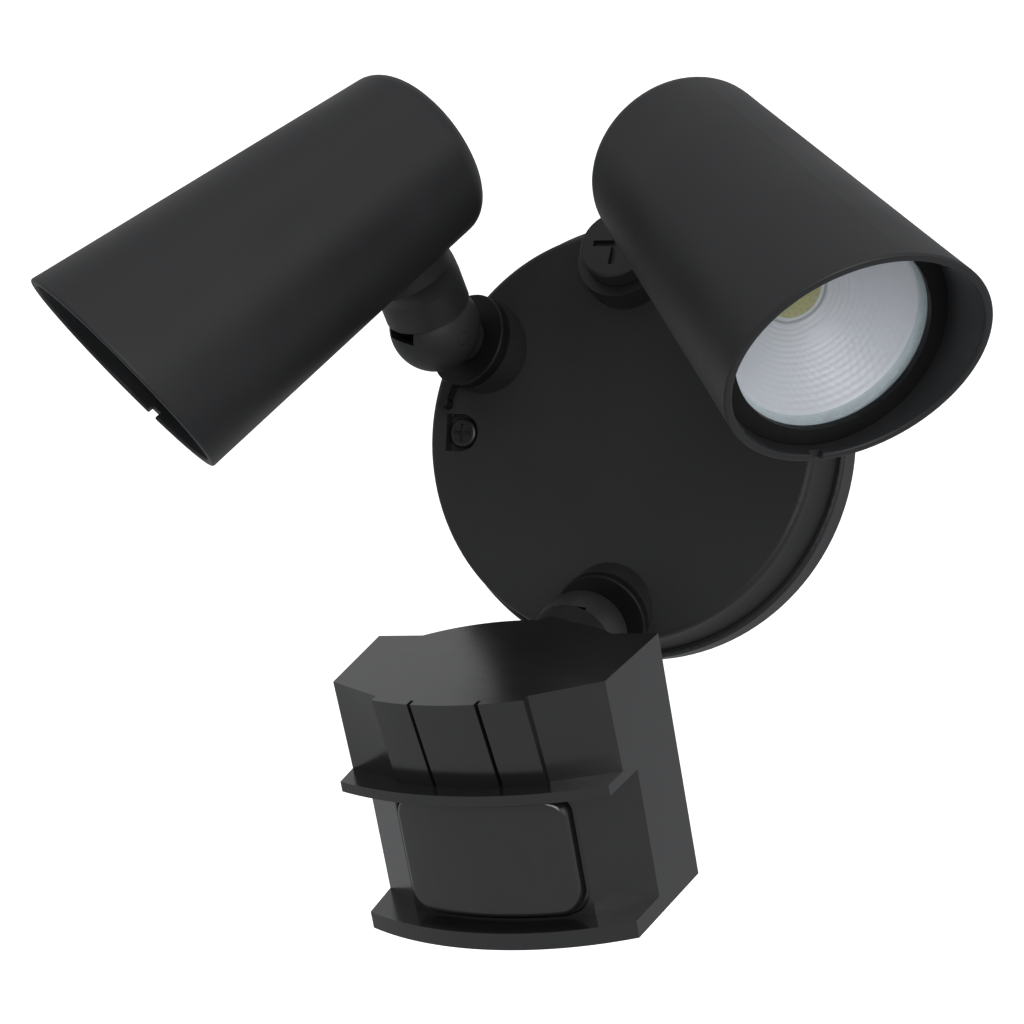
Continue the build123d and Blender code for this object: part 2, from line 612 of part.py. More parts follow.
# Sensor, in the frame of its neck turned upright: z out of its front, y up.
sensor_place = neck_place("sensor") * Rot(0, 0, SENSOR_TURN - 90)
CASE = Plane(origin=(0, SENSOR_DROP, SENSOR_REACH), x_dir=(1, 0, 0), z_dir=(0, -1, 0)).location
# In the case's frame x is right, y is depth from the back plane and z runs down from the top.
behind = -2 * BACK_BOW


def side(depth):
    """Half width of the case at a depth: the sides draw in towards the front."""
    return SENSOR_WIDTH / 2 - SIDE_DRAFT * depth


def plan(corner, panel, panel_depth, front, inset=0, back=0):
    """Plan of the case: drafted sides, angled cheeks and a bowed front."""
    return make_face([
        Polyline((-panel, panel_depth), (inset - side(corner), corner), (inset - side(back), back),
                 (side(back) - inset, back), (side(corner) - inset, corner), (panel, panel_depth)),
        ThreePointArc((panel, panel_depth), (0, front), (-panel, panel_depth)),
    ])


def shelf(corner, front, low, high):
    """Visor or sill: drafted sides and one bow from corner to corner."""
    outline = make_face([
        Polyline((-side(corner), corner), (-side(0), 0), (side(0), 0), (side(corner), corner)),
        ThreePointArc((side(corner), corner), (0, front), (-side(corner), corner)),
    ])
    return block(outline, low, high)


def block(shape, low, high):
    """Plan carried down from one height to another."""
    return Pos(0, 0, low) * extrude(shape, high - low)


def raked(depth):
    """Depth at the brow's foot of a point at its top: the brow leans back as it goes down."""
    return BROW_FOOT_CORNER + BROW_RAKE * (depth - BROW_CORNER)


def brow_panel(ends, front):
    """Plan of the raised panel on the brow."""
    return make_face([
        Polyline((-BROW_PANEL, ends), (-BROW_PANEL, CHEEK_CORNER), (BROW_PANEL, CHEEK_CORNER),
                 (BROW_PANEL, ends)),
        ThreePointArc((BROW_PANEL, ends), (0, front), (-BROW_PANEL, ends)),
    ])


visor_floor = BROW_HEIGHT + VISOR_HEIGHT
sill_top = SENSOR_HEIGHT - SILL_HEIGHT
brow_foot = Pos(0, 0, BROW_HEIGHT)
panel_foot_depth = raked(BROW_PANEL_DEPTH)
brow = loft([
    plan(BROW_CORNER, BROW_PANEL, BROW_PANEL_DEPTH, BROW_FRONT),
    brow_foot * plan(BROW_FOOT_CORNER, BROW_PANEL, panel_foot_depth, raked(BROW_FRONT)),
], ruled=True)
raised_ends = BROW_PANEL_DEPTH + BROW_STEP
raised_front = BROW_FRONT + BROW_STEP
raised = loft([
    brow_panel(raised_ends, raised_front),
    brow_foot * brow_panel(raked(raised_ends), raked(raised_front)),
], ruled=True)
for place in (-BROW_GROOVE, BROW_GROOVE):
    raised -= Pos(place, BROW_FRONT, 0) * slab(BROW_GROOVE_WIDTH, 2 * BROW_FRONT, -1, BROW_HEIGHT + 1)
back_bow = make_face([
    Line((BACK_BOW_HALF, 0), (-BACK_BOW_HALF, 0)),
    ThreePointArc((-BACK_BOW_HALF, 0), (0, -BACK_BOW), (BACK_BOW_HALF, 0)),
])
case = brow + raised
case += shelf(VISOR_CORNER, VISOR_FRONT, BROW_HEIGHT, visor_floor)
case += block(plan(CHEEK_CORNER, CHEEK_PANEL, CHEEK_PANEL_DEPTH, CHEEK_FRONT), visor_floor, sill_top)
case += shelf(SILL_CORNER, SILL_FRONT, sill_top, SENSOR_HEIGHT)
case += block(back_bow, 0, SENSOR_HEIGHT)

brow_hollow = plan(
    BROW_FOOT_CORNER - SENSOR_WALL,
    BROW_PANEL - SENSOR_WALL / 2,
    panel_foot_depth - SENSOR_WALL,
    raked(BROW_FRONT) - SENSOR_WALL,
    SENSOR_WALL,
    behind,
)
cheek_hollow = plan(
    CHEEK_CORNER - SENSOR_WALL,
    CHEEK_PANEL - SENSOR_WALL / 2,
    CHEEK_PANEL_DEPTH - SENSOR_WALL,
    CHEEK_FRONT - SENSOR_WALL,
    SENSOR_WALL,
    behind,
)
case -= block(brow_hollow, SENSOR_WALL, visor_floor - SENSOR_WALL)
case -= block(cheek_hollow, SENSOR_WALL, SENSOR_HEIGHT - SENSOR_WALL)

# Window opening in the front, and the window: a pod that stands proud, with a flange in the opening.
window_low = visor_floor + WINDOW_MARGIN
window_high = sill_top - WINDOW_MARGIN
window_middle = (window_low + window_high) / 2


def window_block(margin):
    """Level block through the front with the window's rounded outline, seen from the front."""
    outline = RectangleRounded(
        2 * (WINDOW_HALF_WIDTH + margin), window_high - window_low + 2 * margin, WINDOW_CORNER + margin
    )
    return Pos(0, CHEEK_CORNER, window_middle) * Rot(-90, 0, 0) * extrude(outline, SILL_FRONT)


def window_skin(proud):
    """Block out to the window's curve, moved forwards or back."""
    curve = plan(CHEEK_CORNER + proud, CHEEK_PANEL, CHEEK_PANEL_DEPTH + proud, CHEEK_FRONT + proud)
    return block(curve, visor_floor - 1, sill_top + 1)


case -= window_block(WINDOW_GAP)
flange_front = WINDOW_FLANGE - SENSOR_WALL
sensor_lens = window_block(0) & window_skin(WINDOW_PROUD)
sensor_lens += window_block(WINDOW_GAP - SEATED) & window_skin(flange_front)
sensor_lens -= window_skin(-SENSOR_WALL)
sensor_lens -= window_block(-WINDOW_WALL) & window_skin(WINDOW_PROUD - WINDOW_WALL)

# Ledge and posts for the rear cover inside the case, and the dials' holes in the bottom.
seam = COVER_THICKNESS + COVER_SEAL_HEIGHT
along_depth = Rot(-90, 0, 0)
case_middle = Pos(0, 0, SENSOR_HEIGHT / 2) * along_depth
inner_half = side(seam + LEDGE_DEPTH) - SENSOR_WALL
inner_height = SENSOR_HEIGHT - 2 * SENSOR_WALL
ledge = slab(2 * inner_half + SENSOR_WALL, inner_height + SENSOR_WALL, seam, seam + LEDGE_DEPTH)
ledge -= slab(2 * (inner_half - LEDGE_WIDTH), inner_height - 2 * LEDGE_WIDTH, 0, 2 * seam + LEDGE_DEPTH)
case += case_middle * ledge
post_inset = COVER_SEAL_WIDTH + SENSOR_POST_RADIUS + 4 * SEATED
post_spots = [
    Pos(across * (inner_half - post_inset), 0, height)
    for across in (-1, 1)
    for height in (SENSOR_WALL + post_inset, SENSOR_HEIGHT - SENSOR_WALL - post_inset)
]
post_end = COVER_THICKNESS + SENSOR_POST_LENGTH
for spot in post_spots:
    case += spot * along_depth * disc(SENSOR_POST_RADIUS, COVER_THICKNESS, post_end)
    case -= spot * along_depth * disc(COVER_SCREW_RADIUS + SEATED, 0, post_end - 1)
board_back = COVER_THICKNESS + STANDOFF_HEIGHT
board_front = board_back + SENSOR_BOARD_HEIGHT
dial_depth = board_front + TRIMMER_DEPTH / 2
dial_spots = {"time_dial": -DIAL_SPACING / 2, "range_dial": DIAL_SPACING / 2}
dial_hole = disc(DIAL_RADIUS + RUNNING, SENSOR_HEIGHT - 2 * SILL_HEIGHT, SENSOR_HEIGHT + 1)
for across in dial_spots.values():
    case -= Pos(across, dial_depth, 0) * dial_hole
nodes["sensor_housing"] = sensor_place * CASE * case
nodes["sensor_lens"] = sensor_place * CASE * sensor_lens

# Rear cover: a plate set in the case's back, bowed out in the middle, with the neck on its back.
cover_half = side(COVER_THICKNESS) - SENSOR_WALL - SEATED
cover_top = SENSOR_WALL + SEATED
cover_bottom = SENSOR_HEIGHT - cover_top
cover_plan = make_face([
    Polyline((-BACK_BOW_HALF, 0), (-cover_half, 0), (-cover_half, COVER_THICKNESS),
             (cover_half, COVER_THICKNESS), (cover_half, 0), (BACK_BOW_HALF, 0)),
    ThreePointArc((BACK_BOW_HALF, 0), (0, -BACK_BOW), (-BACK_BOW_HALF, 0)),
])
cover_hollow = make_face([
    Polyline((-COVER_HOLLOW_HALF, 0), (-COVER_HOLLOW_HALF, seam), (COVER_HOLLOW_HALF, seam),
             (COVER_HOLLOW_HALF, 0)),
    ThreePointArc((COVER_HOLLOW_HALF, 0), (0, COVER_THICKNESS - BACK_BOW), (-COVER_HOLLOW_HALF, 0)),
])
apex = SENSOR_REACH - BACK_BOW
cover = CASE * block(cover_plan, cover_top, cover_bottom)
cover += flared_neck(SENSOR_NECK_FOOT, 0, apex, apex + BACK_BOW / 2)
cover -= CASE * block(cover_hollow, cover_top + COVER_RIM, cover_bottom - COVER_RIM)
cover -= disc(WIRE_RADIUS, 0, SENSOR_REACH)
board_top = SENSOR_BOARD_INSET
board_bottom = SENSOR_HEIGHT - SENSOR_BOARD_INSET
standoff_spots = [
    Pos(across * (SENSOR_BOARD_WIDTH / 2 - 2 * STANDOFF_RADIUS), 0, height)
    for across in (-1, 1)
    for height in (board_top + 2 * STANDOFF_RADIUS, board_bottom - 2 * STANDOFF_RADIUS)
]
for spot in standoff_spots:
    cover += CASE * spot * along_depth * disc(STANDOFF_RADIUS, 0, board_back)
for spot in post_spots:
    cover -= CASE * spot * along_depth * disc(COVER_SCREW_RADIUS + SEATED, -1, COVER_THICKNESS + 1)
nodes["sensor_rear_cover"] = sensor_place * cover

seal_frame = slab(2 * cover_half, cover_bottom - cover_top, COVER_THICKNESS, seam)
seal_frame -= slab(
    2 * (cover_half - COVER_SEAL_WIDTH), cover_bottom - cover_top - 2 * COVER_SEAL_WIDTH, 0, 2 * seam
)
nodes["sensor_cover_seal"] = sensor_place * CASE * case_middle * seal_frame

cover_screw = disc(COVER_SCREW_RADIUS, 0, COVER_SCREW_LENGTH)
cover_screw += disc(COVER_SCREW_HEAD, -COVER_SCREW_HEAD_HEIGHT, 0)
nodes["sensor_cover_screws"] = sensor_place * CASE * Compound(
    children=[spot * along_depth * cover_screw for spot in post_spots]
)

# Sensor board with the motion element and the two trimmers that the dials turn.
sensor_board = case_middle * slab(SENSOR_BOARD_WIDTH, board_bottom - board_top, board_back, board_front)
nodes["sensor_board"] = sensor_place * CASE * sensor_board
nodes["pyro_element"] = sensor_place * CASE * Pos(0, 0, window_middle) * along_depth * disc(
    PYRO_RADIUS, board_front, board_front + PYRO_HEIGHT
)
trimmer_top = SENSOR_HEIGHT - TRIMMER_RISE
trimmer_floor = trimmer_top + TRIMMER_HEIGHT
trimmer = slab(TRIMMER_WIDTH, TRIMMER_DEPTH, trimmer_top, trimmer_floor)
trimmer -= disc(DIAL_SHAFT_RADIUS + RUNNING, trimmer_top + 1, trimmer_floor + 1)
nodes["trimmer_pots"] = sensor_place * CASE * Compound(
    children=[Pos(across, dial_depth, 0) * trimmer for across in dial_spots.values()]
)

flange_floor = SENSOR_HEIGHT - SENSOR_WALL - FACE_GAP
dial_face = SENSOR_HEIGHT + DIAL_PROUD
dial = disc(DIAL_RADIUS, flange_floor - DIAL_FLANGE_HEIGHT, dial_face)
dial += disc(DIAL_RADIUS + DIAL_FLANGE, flange_floor - DIAL_FLANGE_HEIGHT, flange_floor)
dial += disc(DIAL_SHAFT_RADIUS, trimmer_top + 1 + FACE_GAP, flange_floor)
dial -= slab(2 * DIAL_RADIUS - 1, DIAL_SLOT_WIDTH, dial_face - DIAL_SLOT_DEPTH, dial_face + 1)
for name, across in dial_spots.items():
    nodes[name] = sensor_place * CASE * Pos(across, dial_depth, 0) * dial

os.makedirs("parts", exist_ok=True)
for name, shape in nodes.items():
    export_step(shape, "parts/" + name + ".step")
print(len(nodes), "nodes written")
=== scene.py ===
import math

import bmesh
import bpy
import numpy as np
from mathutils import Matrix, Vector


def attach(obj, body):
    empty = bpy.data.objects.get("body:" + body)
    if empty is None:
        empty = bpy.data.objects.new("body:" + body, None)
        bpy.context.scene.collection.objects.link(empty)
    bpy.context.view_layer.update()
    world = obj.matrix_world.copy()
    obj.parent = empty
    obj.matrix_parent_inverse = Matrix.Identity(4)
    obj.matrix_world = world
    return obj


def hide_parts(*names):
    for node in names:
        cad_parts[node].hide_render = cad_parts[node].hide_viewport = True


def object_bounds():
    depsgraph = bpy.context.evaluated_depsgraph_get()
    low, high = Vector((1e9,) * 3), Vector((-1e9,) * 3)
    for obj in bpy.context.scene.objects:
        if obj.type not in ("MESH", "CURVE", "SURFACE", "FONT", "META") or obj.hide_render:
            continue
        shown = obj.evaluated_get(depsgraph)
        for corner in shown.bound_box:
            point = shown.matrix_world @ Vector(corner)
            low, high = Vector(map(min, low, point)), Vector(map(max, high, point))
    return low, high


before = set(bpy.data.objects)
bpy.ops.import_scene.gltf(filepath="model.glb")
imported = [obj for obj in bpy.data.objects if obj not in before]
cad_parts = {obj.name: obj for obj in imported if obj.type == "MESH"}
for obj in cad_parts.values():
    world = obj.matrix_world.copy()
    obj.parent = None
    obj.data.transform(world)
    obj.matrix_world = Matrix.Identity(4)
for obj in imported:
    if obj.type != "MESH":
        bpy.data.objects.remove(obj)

cad_low, cad_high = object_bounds()

# Canopy cover: a round dish of die-cast aluminium that closes the wall box. It is finished in a
# charcoal powder coat, which cures to a fine orange peel with faint clouds in shade and sheen.
COAT_SHADE = (0.0172, 0.0175, 0.0186)
COAT_CONTRAST = 0.1
COAT_GLOSS = (0.44, 0.56)
COAT_SHINE = 0.42
PEEL = (1900.0, 0.000022)
FINE_GRAIN = (5200.0, 0.000006)
CLOUD_SCALE = 34.0
CLOUD_DETAIL = 4.0
GRAIN_DETAIL = 2.0


def new_finish(name):
    """New material: it, its nodes, a function that links sockets, its shader and Object coordinates."""
    material = bpy.data.materials.new(name)
    material.use_nodes = True
    tree = material.node_tree
    shader = tree.nodes["Principled BSDF"]
    coordinates = tree.nodes.new("ShaderNodeTexCoord").outputs["Object"]
    return material, tree.nodes, tree.links.new, shader, coordinates


def noise(nodes, link, coordinates, scale, detail=3.0, stretch=None):
    """Noise value at a scale in features per metre, whose axes a stretch multiplies by three factors."""
    texture = nodes.new("ShaderNodeTexNoise")
    texture.inputs["Scale"].default_value = scale
    texture.inputs["Detail"].default_value = detail
    if stretch:
        mapping = nodes.new("ShaderNodeMapping")
        mapping.inputs["Scale"].default_value = stretch
        link(coordinates, mapping.inputs["Vector"])
        coordinates = mapping.outputs["Vector"]
    link(coordinates, texture.inputs["Vector"])
    return texture.outputs["Fac"]


def spread(nodes, link, value, low, high, start=0.3, end=0.7):
    """Value from start to end laid out over low to high."""
    span = nodes.new("ShaderNodeMapRange")
    for socket, number in zip(span.inputs[1:5], (start, end, low, high)):
        socket.default_value = number
    link(value, span.inputs["Value"])
    return span.outputs["Result"]


def tint(nodes, link, value, dark, light, start=0.35, end=0.65):
    """Colour that goes from dark to light as a value goes from start to end."""
    ramp = nodes.new("ShaderNodeValToRGB")
    for stop, position, shade in zip(ramp.color_ramp.elements, (start, end), (dark, light)):
        stop.position = position
        stop.color = (*shade, 1)
    link(value, ramp.inputs["Fac"])
    return ramp.outputs["Color"]


def relief(nodes, link, shader, value, depth):
    """Bump of a depth in metres, laid over the relief that the shader already has."""
    bump = nodes.new("ShaderNodeBump")
    bump.inputs["Distance"].default_value = depth
    link(value, bump.inputs["Height"])
    worn = shader.inputs["Normal"].links
    if worn:
        link(worn[0].from_socket, bump.inputs["Normal"])
    link(bump.outputs["Normal"], shader.inputs["Normal"])


def skin(name, shade, contrast, gloss, grains, metallic=0.0, shine=0.5):
    """Finish with a clouded shade, roughness that goes with the clouds, and grains of a scale and depth."""
    material, nodes, link, shader, coordinates = new_finish(name)
    shader.inputs["Metallic"].default_value = metallic
    shader.inputs["Specular IOR Level"].default_value = shine
    cloud = noise(nodes, link, coordinates, CLOUD_SCALE, CLOUD_DETAIL)
    dark = [channel * (1 - contrast) for channel in shade]
    light = [channel * (1 + contrast) for channel in shade]
    link(tint(nodes, link, cloud, dark, light), shader.inputs["Base Color"])
    link(spread(nodes, link, cloud, *gloss), shader.inputs["Roughness"])
    for scale, depth in grains:
        relief(nodes, link, shader, noise(nodes, link, coordinates, scale, GRAIN_DETAIL), depth)
    return material


def dress(material, *names):
    """Give CAD nodes a finish."""
    for name in names:
        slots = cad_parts[name].data.materials
        slots.clear()
        slots.append(material)


charcoal_coat = skin(
    "charcoal_coat",
    shade=COAT_SHADE,
    contrast=COAT_CONTRAST,
    gloss=COAT_GLOSS,
    grains=(PEEL, FINE_GRAIN),
    shine=COAT_SHINE,
)
dress(charcoal_coat, "canopy_cover")

# Wall gasket and hub seals: cut from closed-cell rubber sheet, and pressed flat when the light is
# screwed up. The sheet has open pores on its cut face and a grey bloom.
seal_rubber = skin(
    "seal_rubber",
    shade=(0.0075, 0.0075, 0.0078),
    contrast=0.3,
    gloss=(0.72, 0.88),
    grains=((1300.0, 0.00008), (420.0, 0.00005)),
)
dress(seal_rubber, "wall_gasket", "closure_gasket", "left_hub_seal", "right_hub_seal", "sensor_hub_seal")

# Mounting screws: steel pan heads, blackened, which hold the canopy to the wall box. The bath
# leaves a thin dark skin with a satin shine and fine marks.
black_screw = skin(
    "black_screw",
    shade=(0.016, 0.016, 0.017),
    contrast=0.2,
    gloss=(0.3, 0.42),
    grains=((2400.0, 0.00001),),
)
dress(black_screw, "mounting_screws")

# Closure plug: a cast screw plug with a cross slot that shuts the unused seat at the top. It has
# the canopy's coat.
dress(charcoal_coat, "closure_plug")

# Driver and terminal block inside the canopy: a potted supply in a moulded box, held by two bright
# screws, and a three-way block in natural nylon.
driver_case = skin(
    "driver_case",
    shade=(0.55, 0.55, 0.53),
    contrast=0.06,
    gloss=(0.42, 0.56),
    grains=((2600.0, 0.00002), (160.0, 0.00004)),
)
dress(driver_case, "led_driver")
bright_steel = skin(
    "bright_steel",
    shade=(0.5, 0.5, 0.52),
    contrast=0.12,
    gloss=(0.24, 0.36),
    grains=((3200.0, 0.000008),),
    metallic=1.0,
)
dress(bright_steel, "driver_screws")
terminal_plastic = skin(
    "terminal_plastic",
    shade=(0.62, 0.6, 0.54),
    contrast=0.05,
    gloss=(0.36, 0.48),
    grains=((1800.0, 0.00001),),
)
dress(terminal_plastic, "terminal_block")

# Knuckles: a cast ball on a threaded stem, held in the seat by a nut inside and a black nylon lock
# ring outside, with a cap and tongue pinned in the ball's slot. The castings are coated.
dress(charcoal_coat, "left_ball_stem", "right_ball_stem", "sensor_ball_stem")
knuckle_coat = skin(
    "knuckle_coat",
    shade=(0.0125, 0.0127, 0.0135),
    contrast=0.1,
    gloss=(0.42, 0.52),
    grains=((1700.0, 0.000016), FINE_GRAIN),
)
dress(knuckle_coat, "left_knuckle_cap", "right_knuckle_cap", "sensor_knuckle_cap")
dress(black_screw, "left_pivot_pin", "right_pivot_pin", "sensor_pivot_pin")
black_moulding = skin(
    "black_moulding",
    shade=(0.0042, 0.0042, 0.0045),
    contrast=0.15,
    gloss=(0.46, 0.56),
    grains=((3600.0, 0.00001), (900.0, 0.000012)),
    shine=0.25,
)
dress(black_moulding, "left_lock_ring", "right_lock_ring", "sensor_lock_ring")
dress(bright_steel, "left_stem_nut", "right_stem_nut", "sensor_stem_nut")

# Lamp heads: tapered tubes with a slanted hood, each die cast in one piece with its flared neck. They
# have the canopy's coat, and the cap of a knuckle is fixed to the neck.
dress(charcoal_coat, "left_lamp_housing", "right_lamp_housing")

# Heat sink and board behind the light: a casting left bare, and an aluminium board with a white mask,
# held by two screws.
sink_metal = skin(
    "sink_metal",
    shade=(0.56, 0.56, 0.58),
    contrast=0.08,
    gloss=(0.38, 0.5),
    grains=((900.0, 0.00002), (4200.0, 0.00001)),
    metallic=1.0,
)
dress(sink_metal, "left_heat_sink", "right_heat_sink")
white_board = skin(
    "white_board",
    shade=(0.74, 0.74, 0.72),
    contrast=0.03,
    gloss=(0.36, 0.46),
    grains=((1500.0, 0.000006),),
)
dress(white_board, "left_led_board", "right_led_board")
dress(bright_steel, "left_board_screws", "right_board_screws")

# Light source: a round ceramic carrier with a pool of yellow phosphor gel, cast over rows of small
# dies. The gel sets to a shallow dome, darker where the rows show through.
DOME_ROWS = 24
DOME_COLUMNS = 96
DOME_SPREAD = 1.2
DOME_RISE = 1.9
DIE_PITCH = 0.0011
DIE_JITTER = 0.25
DIE_EDGES = (0.1, 0.6)
DIE_RELIEF = 0.00004
GEL_DARK = (0.4, 0.36, 0.06)
GEL_LIGHT = (0.52, 0.47, 0.09)
GEL_MOTTLE = 900.0
GEL_GLOSS = (0.24, 0.4)
POLE_MERGE = 1e-7
CREASE = math.radians(38)
chip_ceramic = skin(
    "chip_ceramic",
    shade=(0.76, 0.76, 0.73),
    contrast=0.03,
    gloss=(0.4, 0.5),
    grains=((2200.0, 0.000006),),
)
dress(chip_ceramic, "left_led_chip", "right_led_chip")


def node_points(name):
    """Corner points of a CAD node, each once, in metres."""
    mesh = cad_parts[name].data
    points = np.empty(3 * len(mesh.vertices), np.float32)
    mesh.vertices.foreach_get("co", points)
    return np.unique(points.reshape(-1, 3).astype(float).round(7), axis=0)


def lamp_frame(arm):
    """Centre of a lamp's lens, two directions across the beam, and the beam.

    The beam is the direction in which the lens disc's points spread least, turned away from the chip.
    """
    disc = node_points(arm + "_lens")
    centre = disc.mean(axis=0)
    beam = np.linalg.svd(disc - centre, full_matrices=False)[2][2]
    beam = beam * np.sign(beam @ (centre - node_points(arm + "_led_chip").mean(axis=0)))
    across = np.cross(beam, (0.0, 0.0, 1.0))
    across = across / np.linalg.norm(across)
    return centre, across, np.cross(beam, across), beam


def reach(lamp, name):
    """Least and greatest distance of a node's points from the beam, then along it."""
    offset = node_points(name) - lamp[0]
    radius = np.linalg.norm(np.cross(offset, lamp[3]), axis=1)
    height = offset @ lamp[3]
    return radius.min(), radius.max(), height.min(), height.max()


def all_round(rows, columns):
    """Rows of a turned surface that are the same in every column."""
    return np.repeat(np.array(rows)[:, None], columns, axis=1)


def turned_surface(name, axes, radius, height, ring):
    """Surface turned about an axis, from rows of radius and height, one column for each angle.

    A point is the centre, plus the radius times the direction at its angle, plus the height times the axis.
    """
    centre, across, upright, axis = axes
    angle = 2 * np.pi * np.arange(radius.shape[1]) / radius.shape[1]
    direction = np.cos(angle)[:, None] * across + np.sin(angle)[:, None] * upright
    return closed_mesh(name, centre + radius[..., None] * direction + height[..., None] * axis, ring)


def closed_mesh(name, points, ring):
    """Object with a skin over rows of points, each row a loop.

    In a ring the last row joins the first. Otherwise a row whose points meet closes its end of the skin.
    """
    rows, columns = points.shape[:2]
    index = np.arange(rows * columns).reshape(rows, columns)
    if ring:
        index = np.vstack([index, index[:1]])
    after = np.roll(index, -1, axis=1)
    quads = np.stack([index[:-1], after[:-1], after[1:], index[1:]], axis=-1).reshape(-1, 4)
    mesh = bpy.data.meshes.new(name)
    mesh.from_pydata(points.reshape(-1, 3), [], quads)
    shape = bmesh.new()
    shape.from_mesh(mesh)
    bmesh.ops.remove_doubles(shape, verts=shape.verts, dist=POLE_MERGE)
    bmesh.ops.recalc_face_normals(shape, faces=shape.faces)
    shape.to_mesh(mesh)
    shape.free()
    mesh.shade_smooth()
    mesh.set_sharp_from_angle(angle=CREASE)
    piece = bpy.data.objects.new(name, mesh)
    bpy.context.scene.collection.objects.link(piece)
    return piece


def install(piece, material, arm, node):
    """Finish a lamp's piece, and let it stand for a CAD node of that lamp."""
    piece.data.materials.append(material)
    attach(piece, arm + "_head")
    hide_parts(arm + "_" + node)


phosphor, nodes, link, shader, coordinates = new_finish("phosphor")
dies = nodes.new("ShaderNodeTexVoronoi")
dies.inputs["Scale"].default_value = 1 / DIE_PITCH
dies.inputs["Randomness"].default_value = DIE_JITTER
link(coordinates, dies.inputs["Vector"])
gel = tint(nodes, link, dies.outputs["Distance"], GEL_DARK, GEL_LIGHT, *DIE_EDGES)
link(gel, shader.inputs["Base Color"])
mottle = noise(nodes, link, coordinates, GEL_MOTTLE)
link(spread(nodes, link, mottle, *GEL_GLOSS), shader.inputs["Roughness"])
relief(nodes, link, shader, dies.outputs["Distance"], DIE_RELIEF)


def phosphor_dome(arm):
    """Half of a flattened ball: the radius goes with the sine of an angle and the height with its cosine.

    It spreads and rises from the CAD node's disc by the dome's two factors, and a flat floor closes it.
    """
    lamp = lamp_frame(arm)
    gel_radius, gel_floor, gel_top = reach(lamp, arm + "_led_phosphor")[1:]
    turn = np.linspace(0, np.pi / 2, DOME_ROWS)
    dome_radius = np.append(DOME_SPREAD * gel_radius * np.sin(turn), 0.0)
    dome_height = np.append(gel_floor + DOME_RISE * (gel_top - gel_floor) * np.cos(turn), gel_floor)
    return turned_surface(
        arm + "_phosphor_dome",
        lamp,
        all_round(dome_radius, DOME_COLUMNS),
        all_round(dome_height, DOME_COLUMNS),
        ring=False,
    )


for arm in ("left", "right"):
    install(phosphor_dome(arm), phosphor, arm, "led_phosphor")

# Reflector: a thin moulded bowl, metallised in a vacuum. Its inside is pressed in rings of small
# pillow facets, plain rings near the light and facets further out.
FACET_RINGS = 15
FACETS_ROUND = 64
FACET_STEPS = 4
FACET_BULGE = 0.00014
FACET_GROWTH = 2.2
FACET_DELAY = 0.3
BOWL_WALL = 0.001
BOWL_COLLAR = 0.0012
BOWL_RIM = 0.0022
BACK_ROWS = 12
BACK_POWER = 1.35
reflector_silver = skin(
    "reflector_silver",
    shade=(0.84, 0.84, 0.87),
    contrast=0.02,
    gloss=(0.42, 0.5),
    grains=((700.0, 0.000006), (4200.0, 0.000002)),
    metallic=0.15,
)


def faceted_bowl(arm):
    """Bowl whose radius r runs from the throat to the rim while its height grows with r squared.

    Each facet stands off the bowl, towards the beam, by the bulge times (1 - a squared) times
    (1 - g b squared). There a and b go from -1 to 1 over the facet, out along the bowl and round it, and g
    grows from 0 near the throat to 1 further out. Each ring is set half a facet on from the last. A plain
    back, about a wall's thickness away, closes it.
    """
    lamp = lamp_frame(arm)
    throat, rim, floor, top = reach(lamp, arm + "_reflector")
    rim_inner = rim - BOWL_RIM
    collar = floor + BOWL_COLLAR
    rate = (top - collar) / (rim_inner**2 - throat**2)
    step = np.linspace(0, FACET_RINGS, FACET_RINGS * FACET_STEPS + 1)
    radius = throat + (rim_inner - throat) * step / FACET_RINGS
    height = collar + rate * (radius**2 - throat**2)
    slope = 2 * rate * radius
    inward = np.stack([-slope, np.ones_like(slope)]) / np.sqrt(1 + slope**2)
    column = np.arange(FACETS_ROUND * FACET_STEPS)
    out = 2 * (step % 1) - 1
    round_it = 2 * ((column / FACET_STEPS + 0.5 * (step // 1 % 2)[:, None]) % 1) - 1
    growth = np.clip(FACET_GROWTH * step / FACET_RINGS - FACET_DELAY, 0, 1)[:, None]
    bulge = FACET_BULGE * (1 - out**2)[:, None] * (1 - growth * round_it**2)
    face_radius = radius[:, None] + bulge * inward[0][:, None]
    face_height = height[:, None] + bulge * inward[1][:, None]
    back = np.linspace(1, 0, BACK_ROWS)
    back_radius = throat + BOWL_WALL + (rim_inner - throat) * back
    back_height = collar - BOWL_WALL + (top - collar) * back**BACK_POWER
    tail_radius = np.concatenate([[rim, rim], back_radius, [throat + BOWL_WALL, throat]])
    tail_height = np.concatenate([[top, top - BOWL_WALL], back_height, [floor, floor]])
    return turned_surface(
        arm + "_faceted_bowl",
        lamp,
        np.vstack([face_radius, all_round(tail_radius, len(column))]),
        np.vstack([face_height, all_round(tail_height, len(column))]),
        ring=True,
    )


for arm in ("left", "right"):
    install(faceted_bowl(arm), reflector_silver, arm, "reflector")

